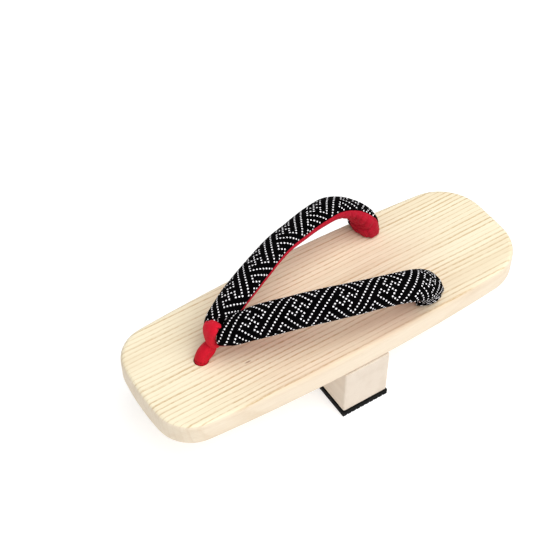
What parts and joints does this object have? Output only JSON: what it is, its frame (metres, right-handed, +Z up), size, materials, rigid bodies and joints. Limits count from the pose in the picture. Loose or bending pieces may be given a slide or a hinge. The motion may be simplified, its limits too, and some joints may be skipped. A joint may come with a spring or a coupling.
{
  "type": "geta sandal",
  "caption": "Wooden geta sandal: a flat footboard raised on a full-width cross tooth, with a padded V-shaped cloth strap held by a short toe loop.",
  "frame": {"origin": "on the floor under the middle of the footboard, which is the bottom centre of the bounding box", "axes": "+X points to the toe, +Y to the wearer's left, +Z up; the sandal mirrors itself about the plane Y = 0"},
  "size_m": [0.24, 0.089, 0.0893],
  "materials": {
    "deck_wood": "bare planed softwood with straight grain, satin",
    "tooth_wood": "bare planed wood, paler and pinker, matt",
    "black_rubber": "matt moulded rubber",
    "black_cloth": "woven cloth with a white dotted key-fret pattern, matt",
    "red_cloth": "soft red cloth, matt"
  },
  "bodies": {
    "root": {"board": "deck_wood", "tooth": "tooth_wood", "tread_pad": "black_rubber", "strap": "black_cloth", "toe_thong": "red_cloth"}
  },
  "joints": []
}
